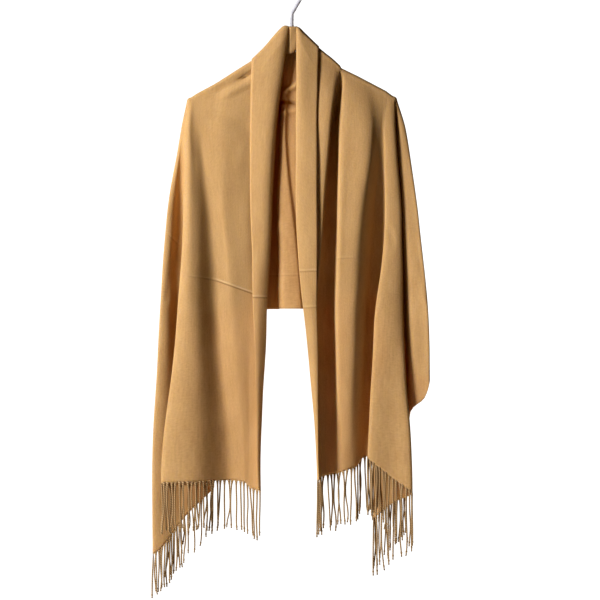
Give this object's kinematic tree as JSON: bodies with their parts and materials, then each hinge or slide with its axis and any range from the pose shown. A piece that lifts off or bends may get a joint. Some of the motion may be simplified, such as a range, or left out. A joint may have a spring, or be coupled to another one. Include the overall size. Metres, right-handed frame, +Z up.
{
  "type": "tassel scarf draped over a coat hanger",
  "caption": "Long woven scarf with twisted tassel fringe at both ends, draped as a shawl over a plain plastic coat hanger with an open hook.",
  "frame": {"origin": "the point inside the top of the hanger's hook that rests on a rail", "axes": "+Z up, -Y out of the front of the scarf, +X to the viewer's right when seen from the front"},
  "size_m": [0.556, 0.0814, 1.2538],
  "materials": {
    "cloth": "soft twill weave, matt",
    "fringe": "twisted yarn, matt",
    "hanger": "moulded, low gloss",
    "hook": "moulded, low gloss"
  },
  "bodies": {
    "root": {"front_left": "cloth", "side_left": "cloth", "back": "cloth", "side_right": "cloth", "front_right": "cloth", "collar_back": "cloth", "fringe_front_left": "fringe", "fringe_behind_left": "fringe", "fringe_behind_right": "fringe", "fringe_front_right": "fringe", "hanger_body": "hanger", "hook": "hook"}
  },
  "joints": []
}
